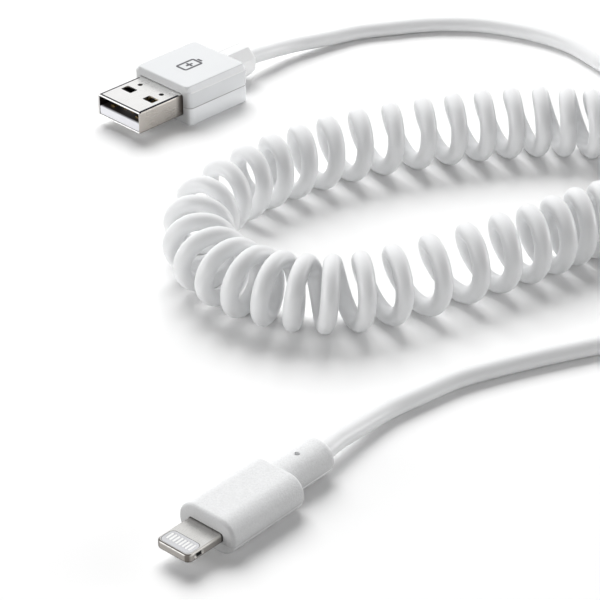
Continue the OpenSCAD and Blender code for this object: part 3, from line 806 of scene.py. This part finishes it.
def halved(bm, height, upper, groove):
    """The part of a solid form above or below a level joint, with a small groove at the joint."""
    bmesh.ops.bisect_plane(
        bm, geom=bm.verts[:] + bm.edges[:] + bm.faces[:], dist=1e-6,
        plane_co=(0, 0, height), plane_no=(0, 0, -1 if upper else 1), clear_outer=True,
    )
    edges = [e for e in bm.edges if e.is_boundary]
    bmesh.ops.contextual_create(bm, geom=edges)
    bmesh.ops.recalc_face_normals(bm, faces=bm.faces)
    rim = [e for e in bm.edges if all(abs(v.co.z - height) < 1e-5 for v in e.verts)]
    bmesh.ops.bevel(
        bm, geom=rim, offset=groove, affect="EDGES", segments=2, profile=0.5,
        clamp_overlap=True, material=-1,
    )
    return bm


# ---- host plug ----


def host_shell():
    """The folded shell, open at its mouth, with its latch windows and crescent punch marks."""
    bm = solid(
        rectangle(SHELL_W, SHELL_H, SHELL_FOLD_R),
        [(0, 0, 0.1), (SHELL_END, 0, 0.05), (SHELL_END, SHELL_T, 0.05), (0, SHELL_T, 0.12)],
        along_x, 3, closed=True,
    )
    windows = [
        solid(
            rectangle(WINDOW_L, WINDOW_W, 0.2, (WINDOW_X + WINDOW_L / 2, side * WINDOW_Y), 4),
            [(-SHELL_H, 0, 0), (SHELL_H, 0, 0)], along_z,
        )
        for side in (-1, 1)
    ]
    bend = [math.radians(-160 + 230 * k / 16) for k in range(17)]
    crescents = []
    for side in (-1, 1):
        middle = Vector((PUNCH_X, side * PUNCH_Y))
        rim = [middle + PUNCH_R * Vector((math.cos(a), math.sin(a))) for a in bend]
        crescents.append(loft(bmesh.new(), lambda inset, rim=rim: rim, [(1, 0), (3, 0)], along_z))
    bm = cut(bm, *windows, *crescents)
    return piece("host_shell_folded", bm, HOST, "plug_steel")


def host_insulator():
    """The tongue and the block behind it, with a groove for each contact."""
    room_w = SHELL_W - 2 * SHELL_T - 2 * FIT
    room_h = SHELL_H - 2 * SHELL_T - 2 * FIT
    tongue = solid(
        rectangle(room_w + FIT, TONGUE_T, 0.28, (0, TONGUE_T / 2 - 0.02 - room_h / 2)),
        [(TONGUE_X, 0.5, 0), (TONGUE_X, 0, 0.14), (BLOCK_X + 0.1, 0, 0)],
        along_x,
    )
    block = solid(
        rectangle(room_w, room_h, 0.3),
        [(BLOCK_X, 0.4, 0), (BLOCK_X, 0, 0.1), (BLOCK_END, 0, 0)],
        along_x,
    )
    slots = [
        solid(
            rectangle(20, CONTACT_SLOT_W, 0.1, (x - FIT + 10, y), 2),
            [(-0.2, 0, 0), (0.1, 0, 0)], along_z,
        )
        for y, x in CONTACTS
    ]
    bm = cut(tongue, block, operation="UNION")
    bm = cut(bm, *slots)
    return piece("host_tongue", bm, HOST, "insulator_white")


def cover_section(inset):
    """The closed covers' section, drawn in from the sides and from above and below."""
    w, h, t = HOST_W / 2 - inset[0], HOST_H / 2 - inset[1], HOST_TOP_CHAMFER
    bottom_r, top_r = 0.3, 0.25
    corners = [
        (-w, -h, bottom_r), (w, -h, bottom_r),
        (w, h - t, top_r), (w - t, h, top_r), (t - w, h, top_r), (-w, h - t, top_r),
    ]
    return fillet(corners, 4)


def rounded_end(r, edge):
    """Distances from an end with upright corners of radius r, and the insets of the section there."""
    stations = []
    for k in range(11):
        a = math.radians(9 * k)
        s = r * (1 - math.cos(a))
        low = edge - math.sqrt(edge ** 2 - (edge - s) ** 2) if s < edge else 0
        stations.append((s, (r * (1 - math.sin(a)), low)))
    return stations


def host_cover(upper):
    """One of the two glossy covers, hollow, with a slot for the shell and a hole for the neck."""
    front = [(SHELL_OUT + s, inset) for s, inset in rounded_end(HOST_CORNER_R, 0.35)]
    rear = [(HOST_BACK - s, inset) for s, inset in rounded_end(HOST_CORNER_R, 0.5)]
    bm = loft(bmesh.new(), cover_section, front + rear[::-1], along_x)
    bm = halved(bm, HOST_SPLIT, upper, 0.06)
    room = solid(
        rectangle(HOST_W - 2 * HOST_WALL, HOST_H - 2 * HOST_WALL, 0.3),
        [(SHELL_OUT + HOST_WALL, 0, 0), (HOST_BACK - HOST_WALL, 0, 0)], along_x,
    )
    slot = solid(
        rectangle(SHELL_W + 2 * FIT, SHELL_H + 2 * FIT, SHELL_R),
        [
            (SHELL_OUT - 0.25, -0.14, 0), (SHELL_OUT + 0.05, -0.12, 0),
            (SHELL_OUT + 0.3, 0, 0), (SHELL_OUT + 1.55, 0, 0),
        ],
        along_x,
    )
    hole = solid(disc(NECK_R + FIT), [(HOST_BACK - 1.45, 0, 0), (HOST_BACK + 0.25, 0, 0)], along_x)
    bm = cut(bm, room, slot, hole)
    name = "host_cover_upper" if upper else "host_cover_lower"
    return piece(name, bm, HOST, "gloss_white")


def host_symbol():
    """A plain battery outline with a plus sign, printed on the upper cover."""
    low, high = HOST_H / 2 - 0.01, HOST_H / 2 + 0.012
    x, line, plus = SYMBOL_X, SYMBOL_LINE, 1.7
    bm = bmesh.new()
    loft(
        bm, rectangle(SYMBOL_L, SYMBOL_W, 0.55, (x, 0)),
        [(low, 0), (high, 0), (high, line), (low, line)],
        along_z, closed=True,
    )
    terminal = (line, 1.3, (x + 2.85, 0))
    for w, h, at in (terminal, (plus, line, (x, 0)), (line, plus, (x, 0))):
        loft(bm, rectangle(w, h, 0.12, at), [(low, 0), (high + 0.001 * h, 0)], along_z)
    return piece("host_symbol_print", bm, HOST, "print_grey")


def rounded_off(points, radius, share):
    """The outline's points moved towards a circle, by a share from 0 to 1."""
    share = max(0.0, min(1.0, share))
    return [p.lerp(p.normalized() * radius, share) for p in points]


def octagon(inset):
    """The collar's outline, which turns round towards its bore."""
    flat = COLLAR_W / 2 - inset
    half_side = math.radians(22.5)
    r = flat / math.cos(half_side)
    corner_r = max(0.05, 0.3 - 0.2 * inset)
    corners = []
    for k in range(8):
        a = half_side * (2 * k + 1)
        corners.append((r * math.cos(a), r * math.sin(a), corner_r))
    return rounded_off(fillet(corners, 3), flat, (inset - 0.5) / 0.7)


def relief_outline(inset):
    """The strain relief's outline, which turns round towards its bore."""
    w, h = RELIEF_W / 2 - inset, RELIEF_T / 2 - inset
    r = max(0.05, min(w, h) - 0.12)
    points = fillet([(-w, -h, r), (w, -h, r), (w, h, r), (-w, h, r)], 10)
    return rounded_off(points, w, (inset - 0.8) / 0.4)


def sleeve(outline, half, start, end, end_r):
    """A sleeve round the cord, from start to end along the plug."""
    wall = half - BORE_R
    return solid(
        outline,
        [(start, 0, 0), (end, 0, end_r), (end, wall, 0.1), (start, wall, 0)],
        along_x, 6, closed=True,
    )


def neck_and_flange(bm, front, back, w, h):
    """Adds the neck that leads a sleeve into the covers and the flange that holds it there."""
    wall = NECK_R - BORE_R
    loft(
        bm, disc(NECK_R), [(front, 0), (back, 0), (back, wall), (front, wall)],
        along_x, closed=True,
    )
    plate = rectangle(w, h, 0.3, steps=7)(0)
    loft(
        bm, lambda share: rounded_off(plate, NECK_R, share),
        [(front, 0), (front + FLANGE_T, 0), (front + FLANGE_T, 1), (front, 1)],
        along_x, closed=True,
    )


def host_collar():
    """The eight-sided collar round the cord."""
    bm = sleeve(octagon, COLLAR_W / 2, HOST_BACK, COLLAR_END, COLLAR_END_R)
    neck_and_flange(bm, HOST_FLANGE, HOST_BACK, HOST_FLANGE_W, HOST_FLANGE_H)
    return piece("host_collar_moulded", bm, HOST, "collar_white", 50)


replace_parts(host_shell(), "host_shell")
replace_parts(host_insulator(), "host_insulator")
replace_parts(host_cover(True), "host_cover_top")
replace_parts(host_cover(False), "host_cover_bottom")
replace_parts(host_collar(), "host_collar")
host_symbol()

# ---- device plug ----

BOARD_ROOM = rectangle(BOARD_ROOM_W, BOARD_ROOM_H, 0.02)


def pad_y(i):
    return (i - 4.5) * PAD_PITCH


def device_cover(upper):
    """One of the two satin covers, hollow, with a slot for the tab and a hole for the neck."""
    bm = solid(
        rectangle(DEVICE_W, DEVICE_H, DEVICE_R, steps=12),
        [(TAB_OUT, 1.6, 0), (TAB_OUT, 0, 0.7), (DEVICE_BACK, 0, 0.6), (DEVICE_BACK, 1.6, 0)],
        along_x, 6,
    )
    bm = halved(bm, DEVICE_SPLIT, upper, 0.05)
    room = solid(
        rectangle(DEVICE_W - 2 * DEVICE_WALL, DEVICE_H - 2 * DEVICE_WALL, DEVICE_R - DEVICE_WALL),
        [(TAB_OUT + DEVICE_WALL, 0, 0), (DEVICE_BACK - DEVICE_WALL, 0, 0)], along_x,
    )
    slot = solid(
        rectangle(TAB_W + 2 * FIT, TAB_T + 2 * FIT, 0.5),
        [
            (TAB_OUT - 0.5, -0.12, 0), (TAB_OUT + 0.05, -0.12, 0),
            (TAB_OUT + 0.2, 0, 0), (TAB_OUT + 1.4, 0, 0),
        ],
        along_x,
    )
    hole = solid(disc(NECK_R + FIT), [(DEVICE_BACK - 1.3, 0, 0), (DEVICE_BACK + 0.3, 0, 0)], along_x)
    bm = cut(bm, room, slot, hole)
    name = "device_cover_upper" if upper else "device_cover_lower"
    return piece(name, bm, DEVICE, "satin_white")


def device_strain_relief():
    """The rounded sleeve round the cord, sunk a little into the covers, with its blind hole."""
    start = DEVICE_BACK - RELIEF_SUNK
    bm = sleeve(relief_outline, RELIEF_W / 2, start, RELIEF_END, RELIEF_END_R)
    neck_and_flange(bm, DEVICE_FLANGE, DEVICE_BACK, DEVICE_FLANGE_W, DEVICE_FLANGE_H)
    top = RELIEF_T / 2
    vent = loft(
        bmesh.new(), disc(0),
        [(top - VENT_DEPTH, -0.46), (top - 0.1, -0.48), (top + 0.3, -0.52)],
        lambda s, p: Vector((p.x + VENT_X, p.y, s)),
    )
    bm = cut(bm, vent)
    return piece("device_strain_relief_moulded", bm, DEVICE, "satin_white", 50)


def device_tab():
    """The metal tab, with a pocket for its insert, room for the board and two latch notches."""

    def plan(inset):
        w, q = TAB_W / 2 - inset, max(1.0 - inset, 0.1)
        return fillet([(inset, -w, q), (TAB_END, -w, 0.02), (TAB_END, w, 0.02), (inset, w, q)], 8)

    top = TAB_T / 2
    bm = solid(plan, [(-top, 1.2, 0), (-top, 0, 0.33), (top, 0, 0.33), (top, 1.2, 0)], along_z, 6)
    pocket = solid(
        rectangle(INSERT_L + 0.1, INSERT_W + 0.1, INSERT_R, (INSERT_X + INSERT_L / 2, 0), 6),
        [(-1, 0, 0), (1, 0, 0)], along_z,
    )
    rear = solid(BOARD_ROOM, [(2, 0, 0), (TAB_END + 0.5, 0, 0)], along_x)
    face, middle = TAB_W / 2, NOTCH_X + NOTCH_L / 2
    notches = [
        loft(
            bmesh.new(), rectangle(NOTCH_L, NOTCH_H, 0.18),
            [(face + 0.25, -0.1), (face, 0), (face - 0.18, 0.12), (face - 0.29, 0.3)],
            lambda s, p, side=side: Vector((p.x + middle, side * s, p.y)),
        )
        for side in (-1, 1)
    ]
    bm = cut(bm, pocket, rear, *notches)
    return piece("device_tab_plated", bm, DEVICE, "tab_nickel", 35)


def device_insert():
    """The plastic insert of the tab, with a pocket for each contact."""
    top = TAB_T / 2
    plan = rectangle(INSERT_L, INSERT_W, INSERT_R, (INSERT_X + INSERT_L / 2, 0), 6)
    bm = solid(plan, [(-top, 0.3, 0), (-top, 0, 0.05), (top, 0, 0.05), (top, 0.3, 0)], along_z, 3)
    pockets = [
        solid(
            rectangle(PAD_L + 0.05, PAD_W + 0.05, 0.1, (PAD_X + PAD_L / 2, pad_y(i)), 3),
            [(-1, 0, 0), (1, 0, 0)], along_z,
        )
        for i in range(1, 9)
    ]
    rear = solid(BOARD_ROOM, [(0.75, 0, 0), (3.5, 0, 0)], along_x)
    bm = cut(bm, rear, *pockets)
    return piece("device_insert_moulded", bm, DEVICE, "insert_grey")


def device_pad(i, side):
    """Contact i of the tab's upper side, 1, or of its lower side, -1."""
    low, top = 0.35, TAB_T / 2 + 0.01
    plan = rectangle(PAD_L, PAD_W, 0.1, (PAD_X + PAD_L / 2, pad_y(i)), 3)
    bm = solid(
        plan, [(low, 0.05, 0), (low, 0, 0), (top, 0, 0.025), (top, 0.05, 0)],
        lambda s, p: Vector((p.x, p.y, side * s)), 2,
    )
    name = f"device_pad_{'top' if side > 0 else 'bottom'}_{i}"
    return piece(name, bm, DEVICE, "contact_plate")


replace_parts(device_cover(True), "device_cover_top")
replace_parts(device_cover(False), "device_cover_bottom")
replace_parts(device_strain_relief(), "device_strain_relief")
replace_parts(device_tab(), "device_tab")
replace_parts(device_insert(), "device_contact_insert")
for i in range(1, 9):
    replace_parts(device_pad(i, 1), f"device_contact_top_{i}")
    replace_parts(device_pad(i, -1), f"device_contact_bottom_{i}")

# ---- stage ----

bm = bmesh.new()
bmesh.ops.create_grid(bm, x_segments=2, y_segments=2, size=1.5)
mesh = bpy.data.meshes.new("floor")
bm.to_mesh(mesh)
bm.free()
floor = bpy.data.objects.new("floor", mesh)
bpy.context.scene.collection.objects.link(floor)


def floor_paper():
    """White paper, which glows far from the part where the camera looks at it."""
    p = Paint(
        "paper", color=(0.95, 0.95, 0.95), roughness=0.9, specular_ior_level=0.0,
        emission_strength=1.0,
    )
    seen = p.looked_at()
    x, y = p.own((38, 11, 0), 0)[:2]
    far = ((x * x * 1.8 + y * y) ** 0.5).over(175, 90)
    white = p.blend(p.noise(0.02), tone(0.98), tone(1.0))
    p.vary("color", p.blend(seen, tone(0.9), white))
    p.vary("emission_color", p.blend(far * seen, (0, 0, 0), (1, 1, 1)))
    return p.material


mesh.materials.append(floor_paper())


def lamp(name, at, aim, size, power):
    """A square soft lamp at a place, turned towards another, with its power in watts."""
    data = bpy.data.lights.new(name, "AREA")
    data.size = size
    data.energy = power
    obj = bpy.data.objects.new(name, data)
    bpy.context.scene.collection.objects.link(obj)
    obj.location = at
    obj.rotation_euler = (Vector(aim) - Vector(at)).to_track_quat("-Z", "Y").to_euler()
    return obj


key = lamp("key", (-0.19, 1.09, 1.28), (0.035, 0.01, 0), 1.3, 35.5)
key.visible_glossy = False
lamp("left", (-0.9, -0.3, 0.22), (0.02, 0.01, 0.01), 0.6, 4.5)
lamp("right", (1.0, 0.22, 0.2), (0.02, 0, 0.01), 0.4, 3.1)
front = lamp("front", (0.03, -0.55, 0.3), (0.02, -0.06, 0.01), 0.25, 0.5)
front.visible_glossy = False

world = bpy.data.worlds.new("studio")
bpy.context.scene.world = world
world.use_nodes = True
sky = Nodes(world.node_tree)
background = world.node_tree.nodes["Background"]
background.inputs["Color"].default_value = (1, 1, 1, 1)
AMBIENT = 0.06
sky.feed(background.inputs["Strength"], AMBIENT + sky.looked_at() * (1 - AMBIENT))

bpy.context.scene.view_settings.view_transform = "Standard"
